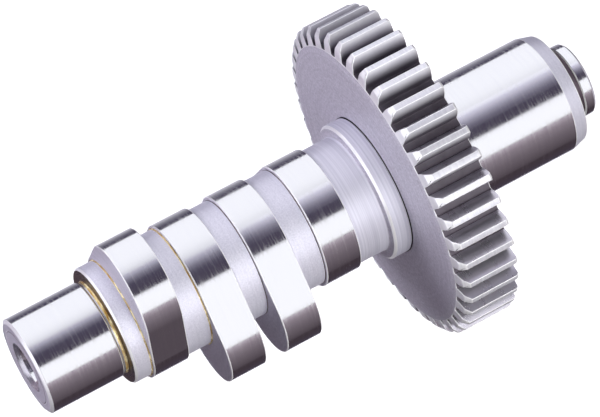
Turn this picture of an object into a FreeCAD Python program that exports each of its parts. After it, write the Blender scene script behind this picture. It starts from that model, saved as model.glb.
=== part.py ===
import FreeCAD, Part
import math
import os

# Single camshaft with four cam lobes and a pressed-on timing gear.
# All sizes are in millimetres.
# The shaft axis is Z. The part stands on its outer end, which lies at Z = 0,
# and the inner journal is at the top. The side with the nose of lobe 1 faces -Y.

# Outer end: spigot for the trigger rotor, with its screw hole and locating notch
spigot_radius = 7.83
spigot_length = 2.55
spigot_end_chamfer = 0.5
spigot_back_chamfer = 0.2
spigot_neck_radius = 7.5
spigot_neck_length = 2.35
screw_hole_radius = 2.55
screw_hole_depth = 16.0
screw_hole_mouth_radius = 3.2
drill_point_angle = 118.0
notch_width = 3.2
notch_radial_depth = 2.2
notch_length = 1.6

# Outer journal, 1 inch across, with a long lead-in taper at its end
outer_journal_radius = 12.7
outer_journal_length = 27.45
lead_in_length = 3.15
lead_in_drop = 0.9

# Seat of the timing gear
seat_radius = 13.1
seat_relief_width = 1.0
seat_relief_depth = 0.3
shoulder_radius = 14.0
shoulder_gap = 0.5

# Collar against the gear
collar_radius = 14.92
collar_length = 3.5
collar_front_chamfer = 0.5
collar_rear_chamfer = 0.2

# Core of the shaft between the collar and the inner journal
core_radius = 12.65
foot_fillet = 0.35
core_end_chamfer = 0.4

# Cam lobes: base circle, nose circle and straight flanks tangent to both
base_radius = 13.35
nose_radius = 11.0
lift = 7.91
lobe_width = 7.93
lobe_edge_chamfer = 0.22

# Each lobe has the core length in front of it, counted upwards from the collar,
# and the direction of its nose about the shaft axis, in degrees from +X
lobe_layout = [
    {"gap_before": 6.86, "nose_angle": 80.0},
    {"gap_before": 5.35, "nose_angle": 180.0},
    {"gap_before": 4.72, "nose_angle": 178.0},
    {"gap_before": 5.55, "nose_angle": -69.0},
]
core_above_lobes = 3.77

# Relief groove and inner journal, 13/16 inch across
relief_length = 1.37
relief_radius = 9.95
relief_fillet = 0.45
journal_back_chamfer = 0.15
inner_journal_radius = 10.32
inner_journal_length = 16.06
end_chamfer_length = 0.5
end_chamfer_drop = 0.82

# Centre hole in the inner end: protective countersink, 60 degree cone and pilot
centre_mouth_radius = 5.35
centre_cone_radius = 4.1
centre_mouth_angle = 120.0
centre_cone_angle = 60.0
centre_pilot_radius = 1.9
centre_pilot_depth = 5.0

# Timing gear: 16 teeth to the inch of diameter, twice the teeth of its pinion
pinion_teeth = 21
gear_teeth = 2 * pinion_teeth
module = 25.4 / 16.0
pressure_angle = 20.0
profile_shift = -0.33
addendum = 1.0
dedendum = 1.25
tooth_backlash = 0.04
root_fillet = 0.35
gear_width = 12.7
gear_phase = -88.25
front_bevel_start_drop = 1.4
front_bevel_step_radial = 1.3
front_bevel_step_axial = 0.7
front_bevel_axial = 1.75
rear_bevel_radial = 0.4
rear_bevel_axial = 0.45
gear_recess_radius = 15.4
gear_recess_depth = 0.7
press_clearance = 0.0

# Half-round key between the shaft and the gear, 3/32 inch thick
key_thickness = 2.38
key_disc_radius = 4.76
key_height_above_seat = 1.2
key_disc_rise = 0.4
key_angle = 60.0
key_side_clearance = 0.01
key_top_clearance = 0.15

# Heights of the shoulders along the shaft, worked out from the lengths above
z_spigot_top = spigot_length
z_neck_top = z_spigot_top + spigot_neck_length
z_lead_in_top = z_neck_top + lead_in_length
z_gear_rear = z_lead_in_top + outer_journal_length
z_gear_front = z_gear_rear + gear_width
z_recess_floor = z_gear_front - gear_recess_depth
z_collar_rear = z_gear_front + shoulder_gap
z_collar_front = z_collar_rear + collar_length

# Each lobe gets the heights of its two faces
lobes = []
z_next = z_collar_front
for entry in lobe_layout:
    z_next = z_next + entry["gap_before"]
    lobes.append({"bottom": z_next, "top": z_next + lobe_width, "angle": entry["nose_angle"]})
    z_next = z_next + lobe_width
z_core_top = z_next + core_above_lobes
z_relief_top = z_core_top + relief_length
z_end = z_relief_top + inner_journal_length

# Gear radii, worked out from the module and the profile shift
pitch_radius = module * gear_teeth / 2.0
gear_base_radius = pitch_radius * math.cos(math.radians(pressure_angle))
tip_radius = pitch_radius + module * (addendum + profile_shift)
root_radius = pitch_radius - module * (dedendum - profile_shift)
bore_radius = seat_radius + press_clearance
key_top = seat_radius + key_height_above_seat
key_centre_z = (z_gear_rear + z_recess_floor) / 2.0


def point(radius, height):
    """Return the point of a turned outline in the XZ plane."""
    return FreeCAD.Vector(radius, 0.0, height)


def turned(outline):
    """Revolve a closed outline about Z.

    The outline is a list of (radius, height) corners. A corner with a third value, which is
    itself a (radius, height) pair, is reached by an arc through that pair.
    """
    edges = []
    previous = outline[0]
    for corner in outline[1:] + [outline[0]]:
        start = point(previous[0], previous[1])
        end = point(corner[0], corner[1])
        if len(corner) == 3:
            middle = point(corner[2][0], corner[2][1])
            edges.append(Part.Arc(start, middle, end).toShape())
        elif start.distanceToPoint(end) > 1e-6:
            edges.append(Part.makeLine(start, end))
        previous = corner
    face = Part.Face(Part.Wire(edges))
    return face.revolve(FreeCAD.Vector(0, 0, 0), FreeCAD.Vector(0, 0, 1), 360.0)


def arc_middle(centre, radius, angle):
    """Return the point at an angle, in degrees, on a circle in the turned outline's plane."""
    turn = math.radians(angle)
    return (centre[0] + radius * math.cos(turn), centre[1] + radius * math.sin(turn))


def shaft_outline():
    """Return the turned outline of the shaft, from the foot of the axis up and round."""
    spigot_foot = spigot_radius - spigot_end_chamfer * 0.9
    outline = [(0.0, 0.0), (spigot_foot, 0.0), (spigot_radius, spigot_end_chamfer)]
    outline.append((spigot_radius, z_spigot_top - spigot_back_chamfer))
    outline.append((spigot_neck_radius, z_spigot_top))
    outline.append((spigot_neck_radius, z_neck_top))
    outline.append((outer_journal_radius - lead_in_drop, z_neck_top))
    outline.append((outer_journal_radius, z_lead_in_top))
    relief = outer_journal_radius - seat_relief_depth
    z_relief = z_gear_rear + seat_relief_width
    outline.append((outer_journal_radius, z_gear_rear))
    outline.append((relief, z_gear_rear + seat_relief_depth))
    outline.append((relief, z_relief))
    outline.append((seat_radius, z_relief + (seat_radius - relief)))
    outline.append((seat_radius, z_recess_floor))
    outline.append((shoulder_radius, z_recess_floor))
    outline.append((shoulder_radius, z_collar_rear))
    outline.append((collar_radius - collar_rear_chamfer, z_collar_rear))
    outline.append((collar_radius, z_collar_rear + collar_rear_chamfer))
    outline.append((collar_radius, z_collar_front - collar_front_chamfer))
    outline.append((collar_radius - collar_front_chamfer, z_collar_front))
    outline += foot_up(core_radius, z_collar_front)
    for lobe in lobes:
        outline += foot_down(core_radius, lobe["bottom"])
        outline += foot_up(core_radius, lobe["top"])
    outline.append((core_radius, z_core_top - core_end_chamfer))
    outline.append((core_radius - core_end_chamfer * 0.75, z_core_top))
    centre = (relief_radius + relief_fillet, z_core_top + relief_fillet)
    outline.append((relief_radius + relief_fillet, z_core_top))
    outline.append((relief_radius, z_core_top + relief_fillet, arc_middle(centre, relief_fillet, 225.0)))
    step = inner_journal_radius - journal_back_chamfer - relief_radius
    outline.append((relief_radius, z_relief_top - journal_back_chamfer - step))
    outline.append((inner_journal_radius - journal_back_chamfer, z_relief_top - journal_back_chamfer))
    outline.append((inner_journal_radius, z_relief_top))
    outline.append((inner_journal_radius, z_end - end_chamfer_length))
    outline.append((inner_journal_radius - end_chamfer_drop, z_end))
    outline.append((0.0, z_end))
    return outline


def foot_up(radius, z_face):
    """Return the fillet that runs from the face below it out onto a cylinder."""
    centre = (radius + foot_fillet, z_face + foot_fillet)
    middle = arc_middle(centre, foot_fillet, 225.0)
    return [(radius + foot_fillet, z_face), (radius, z_face + foot_fillet, middle)]


def foot_down(radius, z_face):
    """Return the fillet that runs from a cylinder up to the face above it."""
    centre = (radius + foot_fillet, z_face - foot_fillet)
    middle = arc_middle(centre, foot_fillet, 135.0)
    return [(radius, z_face - foot_fillet), (radius + foot_fillet, z_face, middle)]


def make_lobe(lobe):
    """Return one cam lobe as a prism with chamfered edges, its nose turned to its angle."""
    nose_offset = base_radius + lift - nose_radius
    flank = math.acos((base_radius - nose_radius) / nose_offset)
    cosine = math.cos(flank)
    sine = math.sin(flank)
    z = lobe["bottom"]
    base_upper = FreeCAD.Vector(base_radius * cosine, base_radius * sine, z)
    base_lower = FreeCAD.Vector(base_radius * cosine, -base_radius * sine, z)
    nose_upper = FreeCAD.Vector(nose_offset + nose_radius * cosine, nose_radius * sine, z)
    nose_lower = FreeCAD.Vector(nose_offset + nose_radius * cosine, -nose_radius * sine, z)
    heel = FreeCAD.Vector(-base_radius, 0.0, z)
    tip = FreeCAD.Vector(nose_offset + nose_radius, 0.0, z)
    edges = [
        Part.Arc(base_upper, heel, base_lower).toShape(),
        Part.makeLine(base_lower, nose_lower),
        Part.Arc(nose_lower, tip, nose_upper).toShape(),
        Part.makeLine(nose_upper, base_upper),
    ]
    prism = Part.Face(Part.Wire(edges)).extrude(FreeCAD.Vector(0, 0, lobe_width))
    rims = []
    for edge in prism.Edges:
        box = edge.BoundBox
        if box.ZMax - box.ZMin < 1e-6:
            rims.append(edge)
    prism = prism.makeChamfer(lobe_edge_chamfer, rims)
    prism.rotate(FreeCAD.Vector(0, 0, 0), FreeCAD.Vector(0, 0, 1), lobe["angle"])
    return prism


def cone_height(radius_drop, full_angle):
    """Return the height over which a cone of the given full angle loses some radius."""
    return radius_drop / math.tan(math.radians(full_angle / 2.0))


def centre_hole():
    """Return the tool that cuts the stepped centre hole in the inner end."""
    z_cone = z_end - cone_height(centre_mouth_radius - centre_cone_radius, centre_mouth_angle)
    z_pilot = z_cone - cone_height(centre_cone_radius - centre_pilot_radius, centre_cone_angle)
    z_bottom = z_pilot - centre_pilot_depth
    z_point = z_bottom - cone_height(centre_pilot_radius, drill_point_angle)
    return turned([
        (0.0, z_point),
        (centre_pilot_radius, z_bottom),
        (centre_pilot_radius, z_pilot),
        (centre_cone_radius, z_cone),
        (centre_mouth_radius, z_end),
        (centre_mouth_radius, z_end + 1.0),
        (0.0, z_end + 1.0),
    ])


def screw_hole():
    """Return the tool that cuts the tapped hole in the outer end, at its tapping size."""
    mouth_drop = screw_hole_mouth_radius - screw_hole_radius
    z_point = screw_hole_depth + cone_height(screw_hole_radius, drill_point_angle)
    return turned([
        (0.0, -1.0),
        (screw_hole_mouth_radius, -1.0),
        (screw_hole_mouth_radius, 0.0),
        (screw_hole_radius, mouth_drop),
        (screw_hole_radius, screw_hole_depth),
        (0.0, z_point),
    ])


def rotor_notch():
    """Return the tool that cuts the locating notch in the rim of the spigot, at its back."""
    depth = notch_radial_depth + 1.0
    corner = FreeCAD.Vector(-notch_width / 2.0, spigot_radius - notch_radial_depth, -1.0)
    return Part.makeBox(notch_width, depth, notch_length + 1.0, corner)


def key_disc(extra):
    """Return the half-round key's disc, grown by a clearance all round its thickness."""
    thickness = key_thickness + 2.0 * extra
    start = FreeCAD.Vector(key_top + key_disc_rise, -thickness / 2.0, key_centre_z)
    return Part.makeCylinder(key_disc_radius, thickness, start, FreeCAD.Vector(0, 1, 0))


def turned_to_key(shape):
    """Turn a shape that lies at +X round to the key's own direction."""
    shape.rotate(FreeCAD.Vector(0, 0, 0), FreeCAD.Vector(0, 0, 1), key_angle)
    return shape


def make_key():
    """Return the half-round key, cut flat at its top."""
    corner = FreeCAD.Vector(0.0, -key_thickness, key_centre_z - key_disc_radius)
    keep = Part.makeBox(key_top, 2.0 * key_thickness, 2.0 * key_disc_radius, corner)
    return turned_to_key(key_disc(0.0).common(keep))


def make_camshaft():
    """Return the shaft with its journals, collars and four lobes, as one solid."""
    shaft = turned(shaft_outline())
    for lobe in lobes:
        shaft = shaft.fuse(make_lobe(lobe))
    shaft = shaft.cut(centre_hole())
    shaft = shaft.cut(screw_hole())
    shaft = shaft.cut(rotor_notch())
    shaft = shaft.cut(turned_to_key(key_disc(key_side_clearance)))
    return shaft.removeSplitter()


def involute(angle_from_base):
    """Return the involute function of an angle in radians."""
    return math.tan(angle_from_base) - angle_from_base


def flank_half_angle(radius):
    """Return half the angle, in radians, that one tooth spans at a radius."""
    slope = math.radians(pressure_angle)
    thickness = module * (math.pi / 2.0 + 2.0 * profile_shift * math.tan(slope)) - tooth_backlash
    at_pitch = thickness / (2.0 * pitch_radius) + involute(slope)
    reach = max(radius, gear_base_radius)
    return at_pitch - involute(math.acos(gear_base_radius / reach))


def polar(radius, angle):
    """Return a point of the gear's outline at its rear face."""
    return FreeCAD.Vector(radius * math.cos(angle), radius * math.sin(angle), z_gear_rear)


def tooth_edges(centre_angle):
    """Return the outline of one tooth and the root space after it, as a list of edges."""
    pitch_angle = 2.0 * math.pi / gear_teeth
    foot_angle = flank_half_angle(gear_base_radius)
    foot_radius = root_radius + root_fillet
    steps = [0.0, 0.35, 0.7, 1.0]
    rising = []
    for share in steps:
        radius = gear_base_radius + share * (tip_radius - gear_base_radius)
        rising.append(polar(radius, centre_angle - flank_half_angle(radius)))
    falling = []
    for share in reversed(steps):
        radius = gear_base_radius + share * (tip_radius - gear_base_radius)
        falling.append(polar(radius, centre_angle + flank_half_angle(radius)))
    flank_up = Part.BSplineCurve()
    flank_up.interpolate(rising)
    flank_down = Part.BSplineCurve()
    flank_down.interpolate(falling)
    fillet_angle = root_fillet / root_radius
    near_foot = polar(foot_radius, centre_angle + foot_angle)
    near_root = polar(root_radius, centre_angle + foot_angle + fillet_angle)
    near_middle = polar(root_radius + root_fillet * 0.293, centre_angle + foot_angle + fillet_angle * 0.293)
    far_root = polar(root_radius, centre_angle + pitch_angle - foot_angle - fillet_angle)
    far_foot = polar(foot_radius, centre_angle + pitch_angle - foot_angle)
    far_middle = polar(root_radius + root_fillet * 0.293,
                       centre_angle + pitch_angle - foot_angle - fillet_angle * 0.293)
    next_start = polar(gear_base_radius, centre_angle + pitch_angle - foot_angle)
    return [
        flank_up.toShape(),
        Part.Arc(rising[-1], polar(tip_radius, centre_angle), falling[0]).toShape(),
        flank_down.toShape(),
        Part.makeLine(falling[-1], near_foot),
        Part.Arc(near_foot, near_middle, near_root).toShape(),
        Part.Arc(near_root, polar(root_radius, centre_angle + pitch_angle / 2.0), far_root).toShape(),
        Part.Arc(far_root, far_middle, far_foot).toShape(),
        Part.makeLine(far_foot, next_start),
    ]


def gear_blank():
    """Return the turned blank of the gear, with its bevels, bore and front recess."""
    bevel_foot = root_radius - front_bevel_start_drop
    bevel_step = tip_radius - front_bevel_step_radial
    outside = tip_radius + 1.0
    rear_slope = rear_bevel_axial / rear_bevel_radial
    front_slope = (front_bevel_axial - front_bevel_step_axial) / front_bevel_step_radial
    return turned([
        (bore_radius, z_gear_rear),
        (tip_radius - rear_bevel_radial, z_gear_rear),
        (outside, z_gear_rear + rear_slope * (rear_bevel_radial + 1.0)),
        (outside, z_gear_front - front_bevel_axial - front_slope * 1.0),
        (bevel_step, z_gear_front - front_bevel_step_axial),
        (bevel_foot, z_gear_front),
        (gear_recess_radius, z_gear_front),
        (gear_recess_radius, z_recess_floor),
        (bore_radius, z_recess_floor),
    ])


def make_gear():
    """Return the spur gear with its keyway."""
    edges = []
    pitch_angle = 2.0 * math.pi / gear_teeth
    for index in range(gear_teeth):
        edges += tooth_edges(math.radians(gear_phase) + index * pitch_angle)
    teeth = Part.Face(Part.Wire(edges)).extrude(FreeCAD.Vector(0, 0, gear_width))
    gear = teeth.common(gear_blank())
    slot_width = key_thickness + 2.0 * key_side_clearance
    slot_top = key_top + key_top_clearance
    corner = FreeCAD.Vector(0.0, -slot_width / 2.0, z_gear_rear - 1.0)
    slot = Part.makeBox(slot_top, slot_width, gear_width + 2.0, corner)
    return gear.cut(turned_to_key(slot))


os.makedirs("parts", exist_ok=True)
make_camshaft().exportStep("parts/camshaft.step")
make_gear().exportStep("parts/timing_gear.step")
make_key().exportStep("parts/gear_key.step")
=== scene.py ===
import logging
import math
from dataclasses import dataclass, field
from enum import Enum

import bmesh
import bpy
import numpy as np
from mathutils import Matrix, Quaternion, Vector


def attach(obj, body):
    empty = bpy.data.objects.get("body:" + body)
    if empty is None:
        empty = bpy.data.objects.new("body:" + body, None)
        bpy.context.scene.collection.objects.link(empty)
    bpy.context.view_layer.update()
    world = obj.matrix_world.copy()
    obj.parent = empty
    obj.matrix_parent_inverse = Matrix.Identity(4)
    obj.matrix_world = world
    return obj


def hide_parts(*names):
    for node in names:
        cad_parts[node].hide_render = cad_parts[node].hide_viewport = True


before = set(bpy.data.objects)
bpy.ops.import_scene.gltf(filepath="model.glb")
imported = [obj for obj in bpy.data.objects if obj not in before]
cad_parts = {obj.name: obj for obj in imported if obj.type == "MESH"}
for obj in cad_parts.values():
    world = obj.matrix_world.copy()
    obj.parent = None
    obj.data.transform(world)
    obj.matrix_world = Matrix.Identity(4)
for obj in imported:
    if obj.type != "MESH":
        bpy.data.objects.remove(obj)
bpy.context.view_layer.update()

MM = 0.001
ORIGIN = (0.0, 0.0, 0.0)
SHAFT_AXIS = (0.0, 0.0, 1.0)
ROOT_BODY = "root"
# The key, its seat and the keyway lie in a plane through the axis at this angle, in radians.
KEY_TURN = -math.radians(60.0)
# Vertices nearer than this are one, in millimetres: along a swept outline, between two
# teeth, and after a cut.
SWEEP_WELD = 0.0002
TOOTH_WELD = 0.001
CUT_WELD = 0.0005
# The share of a line that a rounding may use, beside another rounding or a plain corner.
SHARED_LINE = 0.45
WHOLE_LINE = 0.98
# The number of short lines in each rounding of a turned outline.
CORNER_STEPS = 4
# A squared length, in square metres, that no real line of an outline falls short of.
LEAST_SQUARE = 1e-18
# How much of a face's normal lies along the axis, at least on a flat one and at most on an
# upright one.
FLAT_NORMAL = 0.98
UPRIGHT_NORMAL = 0.1
# Numbers of a mix node's sockets when it mixes colours: the first and the second colour,
# and the result.
FIRST_COLOUR = 6
SECOND_COLOUR = 7
MIXED_COLOUR = 2
# Short names for the types that stand in many signatures.
Tree = bpy.types.NodeTree
Socket = bpy.types.NodeSocket
Piece = bpy.types.Object
log = logging.getLogger("camshaft")


class Finish(Enum):
    """The surface finishes of the steel pieces, in the order of their material slots."""

    GROUND = 0
    SATIN = 1
    STRAW = 2
    GROOVE = 3
    FACE = 4
    TOOTH = 5
    BROWN = 6
    BRIGHT = 7
    LAND = 8
    RIM = 9
    TURNED = 10
    HOBBED = 11
    COAST = 12


def linear(code: str) -> tuple[float, float, float, float]:
    """Turn an sRGB hex colour into linear values, by the curve of the sRGB standard.

    Args:
        code: The colour as six hex digits, with or without a leading hash.

    Returns:
        Red, green, blue and an alpha of one.
    """
    digits = code.lstrip("#")
    values = []
    for start in (0, 2, 4):
        share = int(digits[start:start + 2], 16) / 255.0
        values.append(share / 12.92 if share <= 0.04045 else ((share + 0.055) / 1.055) ** 2.4)
    return values[0], values[1], values[2], 1.0


def add_node(
    tree: Tree,
    kind: str,
    settings: dict | None = None,
    values: dict | None = None,
    links: dict | None = None,
) -> bpy.types.Node:
    """Add one shader node with its settings and links.

    Args:
        tree: The node tree that gets the node.
        kind: The node's type name.
        settings: Properties of the node by name.
        values: Unlinked socket values by socket name or number.
        links: Sockets of other nodes that feed this node, by socket name or number.

    Returns:
        The new node.
    """
    node = tree.nodes.new(kind)
    for name, value in (settings or {}).items():
        setattr(node, name, value)
    for name, value in (values or {}).items():
        node.inputs[name].default_value = value
    for name, socket in (links or {}).items():
        tree.links.new(socket, node.inputs[name])
    return node


def empty_tree(owner: bpy.types.ID) -> Tree:
    """Turn on the nodes of a material, a world or a light, and clear them away.

    Args:
        owner: The material, world or light.

    Returns:
        Its node tree, with no nodes.
    """
    owner.use_nodes = True
    owner.node_tree.nodes.clear()
    return owner.node_tree


def metres(*sizes: float) -> tuple[float, ...]:
    """Turn sizes in millimetres into metres."""
    return tuple(size * MM for size in sizes)


def leave_edit_mode() -> None:
    """Go back to object mode, if a piece is being edited."""
    if bpy.context.mode != "OBJECT":
        bpy.ops.object.mode_set(mode="OBJECT")


def select_vertices() -> None:
    """Select the whole mesh that is being edited, by its vertices."""
    bpy.ops.mesh.select_mode(type="VERT")
    bpy.ops.mesh.select_all(action="SELECT")


def fresh_object(name: str) -> Piece:
    """Start a new object in edit mode with a single vertex at the origin.

    Args:
        name: The object's name.

    Returns:
        The object, which is active and in edit mode.
    """
    leave_edit_mode()
    bpy.ops.object.select_all(action="DESELECT")
    bpy.ops.mesh.primitive_plane_add(size=2 * MM, location=ORIGIN)
    piece = bpy.context.active_object
    piece.name = name
    piece.data.name = name
    bpy.ops.object.mode_set(mode="EDIT")
    select_vertices()
    bpy.ops.mesh.merge(type="CENTER")
    return piece


def draw_wire(points: list[Vector]) -> None:
    """Draw a wire from the one selected vertex, which is moved to the first point.

    Args:
        points: The wire's points in millimetres, in order.
    """
    bpy.ops.transform.translate(value=points[0] * MM)
    for near, far in zip(points, points[1:]):
        bpy.ops.mesh.extrude_region_move(TRANSFORM_OT_translate={"value": (far - near) * MM})


def select_only(*pieces: Piece) -> None:
    """Select some pieces and make the first one active.

    Args:
        pieces: The pieces to select.
    """
    leave_edit_mode()
    bpy.ops.object.select_all(action="DESELECT")
    for piece in pieces:
        piece.select_set(True)
    bpy.context.view_layer.objects.active = pieces[0]


def apply_modifier(piece: Piece, kind: str, settings: dict) -> None:
    """Add a modifier to a piece and apply it.

    Args:
        piece: The object to change.
        kind: The modifier's type.
        settings: Its properties by name.
    """
    select_only(piece)
    modifier = piece.modifiers.new(kind.title(), kind)
    for name, value in settings.items():
        setattr(modifier, name, value)
    bpy.ops.object.modifier_apply(modifier=modifier.name)


def combine(piece: Piece, tool: Piece, operation: str) -> None:
    """Join, cut or intersect a piece with another solid, which is used up.

    Args:
        piece: The object that stays.
        tool: The object that is used up.
        operation: UNION, DIFFERENCE or INTERSECT.
    """
    settings = {"operation": operation, "solver": "MANIFOLD", "object": tool}
    apply_modifier(piece, "BOOLEAN", settings)
    bpy.data.meshes.remove(tool.data)


def clean_mesh(piece: Piece) -> None:
    """Merge the doubles and dissolve the empty slivers that cutting leaves behind.

    Args:
        piece: The piece to clean.
    """
    select_only(piece)
    bpy.ops.object.mode_set(mode="EDIT")
    select_vertices()
    bpy.ops.mesh.remove_doubles(threshold=CUT_WELD * MM)
    bpy.ops.mesh.dissolve_degenerate(threshold=CUT_WELD * MM)
    bpy.ops.object.mode_set(mode="OBJECT")


def smooth_with_flat_faces(piece: Piece, angle: float) -> None:
    """Shade a piece smooth up to an angle and keep its large faces flat.

    Args:
        piece: The object to shade.
        angle: The angle in degrees above which an edge stays sharp.
    """
    select_only(piece)
    bpy.ops.object.shade_smooth_by_angle(angle=math.radians(angle))
    settings = {"mode": "FACE_AREA", "keep_sharp": True, "weight": 100}
    apply_modifier(piece, "WEIGHTED_NORMAL", settings)


@dataclass(frozen=True)
class Station:
    """One corner of a turned outline.

    Attributes:
        radius: The distance from the axis, in millimetres.
        height: The height over the outer end face, in millimetres.
        rounding: The radius that rounds the corner, in millimetres, where the lines allow it.
        finish: The finish of the surface that leads from this corner to the next one.
        corner: The finish of the rounding, if it has one of its own.
    """

    radius: float
    height: float
    rounding: float = 0.0
    finish: Finish = Finish.SATIN
    corner: Finish | None = None


def rounded(stations: list[Station], steps: int) -> list[tuple[Vector, Finish]]:
    """Round the corners of a turned outline.

    Args:
        stations: The outline's corners, in order.
        steps: The number of short lines in each rounding.

    Returns:
        Each point of the rounded outline in the XZ plane, with the finish that follows it.
    """
    points = []
    for index, corner in enumerate(stations):
        here = Vector((corner.radius, 0.0, corner.height))
        if corner.rounding <= 0.0 or index in (0, len(stations) - 1):
            points.append((here, corner.finish))
            continue
        before = stations[index - 1]
        after = stations[index + 1]
        back = Vector((before.radius, 0.0, before.height)) - here
        ahead = Vector((after.radius, 0.0, after.height)) - here
        half = back.angle(ahead) / 2.0
        behind_share = SHARED_LINE if before.rounding > 0.0 else WHOLE_LINE
        ahead_share = SHARED_LINE if after.rounding > 0.0 else WHOLE_LINE
        reach = min(
            corner.rounding / math.tan(half),
            behind_share * back.length,
            ahead_share * ahead.length,
        )
        radius = reach * math.tan(half)
        middle = (back.normalized() + ahead.normalized()).normalized()
        centre = here + middle * (radius / math.sin(half))
        first = (here + back.normalized() * reach - centre).normalized()
        last = (here + ahead.normalized() * reach - centre).normalized()
        for step in range(steps + 1):
            share = step / steps
            finish = corner.corner or (before.finish if share < 0.5 else corner.finish)
            finish = corner.finish if step == steps else finish
            points.append((centre + first.slerp(last, share).normalized() * radius, finish))
    return points


def spin_mesh(steps: int, angle: float, copies: bool, weld: float) -> None:
    """Spin the selected mesh about the shaft's axis, weld it and leave edit mode.

    Args:
        steps: The number of steps round the axis.
        angle: The angle of all the steps together, in radians.
        copies: True to set copies side by side, False to sweep a surface.
        weld: The distance in millimetres under which vertices are one.
    """
    bpy.ops.mesh.spin(steps=steps, dupli=copies, angle=angle, center=ORIGIN, axis=SHAFT_AXIS)
    bpy.ops.mesh.select_all(action="SELECT")
    bpy.ops.mesh.remove_doubles(threshold=weld * MM)
    bpy.ops.mesh.normals_make_consistent(inside=False)
    bpy.ops.object.mode_set(mode="OBJECT")


def spin_outline(
    name: str, points: list[tuple[Vector, Finish]], turns: int, closed: bool
) -> Piece:
    """Turn an outline about Z into a closed solid and give its faces their finishes.

    Args:
        name: The object's name.
        points: The outline's points with the finish after each.
        turns: The number of steps round the axis.
        closed: True if the outline's last point is joined to its first.

    Returns:
        The new object, in object mode.
    """
    places = [place for place, _ in points]
    if closed:
        places.append(places[0].copy())
    piece = fresh_object(name)
    draw_wire(places)
    bpy.ops.mesh.select_all(action="SELECT")
    spin_mesh(turns, math.tau, False, SWEEP_WELD)
    dress(piece, Finish.GROUND)
    dress_by_outline(piece, points)
    return piece


def dress(piece: Piece, finish: Finish) -> None:
    """Give a piece one material slot for each finish, and all of its faces the same finish.

    Args:
        piece: The piece to dress.
        finish: The finish of its faces.
    """
    for entry in Finish:
        piece.data.materials.append(MATERIALS[entry])
    for polygon in piece.data.polygons:
        polygon.material_index = finish.value


def dress_by_outline(piece: Piece, points: list[tuple[Vector, Finish]]) -> None:
    """Give each face the finish of the outline's line that it was turned from.

    Args:
        piece: The turned object.
        points: The outline's points with the finish after each.
    """
    ends = np.array([(place.x, place.z) for place, _ in points]) * MM
    starts = ends[:-1]
    runs = ends[1:] - starts
    lengths = np.maximum((runs ** 2).sum(axis=1), LEAST_SQUARE)
    codes = np.array([finish.value for _, finish in points])
    chosen = []
    for polygon in piece.data.polygons:
        centre = polygon.center
        spot = np.array([math.hypot(centre.x, centre.y), centre.z])
        share = np.clip(((spot - starts) * runs).sum(axis=1) / lengths, 0.0, 1.0)
        gap = ((starts + runs * share[:, None] - spot) ** 2).sum(axis=1)
        chosen.append(int(codes[int(gap.argmin())]))
    piece.data.polygons.foreach_set("material_index", chosen)


def from_axis(tree: Tree, place: Socket) -> tuple[Socket, Socket]:
    """Find how a shaded point lies from the shaft's axis.

    Args:
        tree: The material's node tree.
        place: The point's place in Object coordinates.

    Returns:
        The vector from the axis to the point, and its length.
    """
    flat = add_node(
        tree, "ShaderNodeVectorMath", {"operation": "MULTIPLY"}, {1: (1.0, 1.0, 0.0)}, {0: place}
    ).outputs["Vector"]
    length = add_node(
        tree, "ShaderNodeVectorMath", {"operation": "LENGTH"}, links={0: flat}
    ).outputs["Value"]
    return flat, length


@dataclass(frozen=True)
class RingPattern:
    """Fine tool lines that run round the shaft's axis.

    Attributes:
        spacing: The distance between the lines, in millimetres.
        streaks: How many lighter and darker stretches one line has on its way round.
        detail: How many finer layers the noise has.
        faced: True where the lines follow each other along the radius, not the axis.
        contrast: How strongly the finer layers show.
    """

    spacing: float
    streaks: float
    detail: float = 3.0
    faced: bool = False
    contrast: float = 0.55

    def build(self, tree: Tree) -> Socket:
        """Build the pattern.

        Args:
            tree: The material's node tree.

        Returns:
            A socket with values about one half.
        """
        place = add_node(tree, "ShaderNodeTexCoord").outputs["Object"]
        flat, radius = from_axis(tree, place)
        turn = add_node(
            tree, "ShaderNodeVectorMath", {"operation": "NORMALIZE"}, links={0: flat}
        ).outputs[0]
        turn = add_node(
            tree,
            "ShaderNodeVectorMath",
            {"operation": "SCALE"},
            {"Scale": self.streaks / math.tau},
            {0: turn},
        ).outputs[0]
        height = add_node(tree, "ShaderNodeSeparateXYZ", links={0: place}).outputs["Z"]
        along = add_node(
            tree,
            "ShaderNodeMath",
            {"operation": "DIVIDE"},
            {1: self.spacing * MM},
            {0: radius if self.faced else height},
        ).outputs[0]
        lift = add_node(tree, "ShaderNodeCombineXYZ", links={"Z": along}).outputs[0]
        spot = add_node(
            tree, "ShaderNodeVectorMath", {"operation": "ADD"}, links={0: turn, 1: lift}
        ).outputs[0]
        noise = add_node(
            tree,
            "ShaderNodeTexNoise",
            {"noise_dimensions": "3D"},
            {"Scale": 1.0, "Detail": self.detail, "Roughness": self.contrast},
            {"Vector": spot},
        )
        return noise.outputs["Fac"]


@dataclass(frozen=True)
class BlastGrain:
    """The even pitting that blasting leaves.

    Attributes:
        size: The size of the grains, in millimetres.
        detail: How many finer layers the noise has.
        contrast: How strongly the finer layers show.
    """

    size: float
    detail: float = 2.0
    contrast: float = 0.6

    def build(self, tree: Tree) -> Socket:
        """Build the pattern.

        Args:
            tree: The material's node tree.

        Returns:
            A socket with values about one half.
        """
        place = add_node(tree, "ShaderNodeTexCoord").outputs["Object"]
        scale = 1.0 / (self.size * MM)
        noise = add_node(
            tree,
            "ShaderNodeTexNoise",
            {"noise_dimensions": "3D"},
            {"Scale": scale, "Detail": self.detail, "Roughness": self.contrast},
            {"Vector": place},
        )
        return noise.outputs["Fac"]


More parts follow.
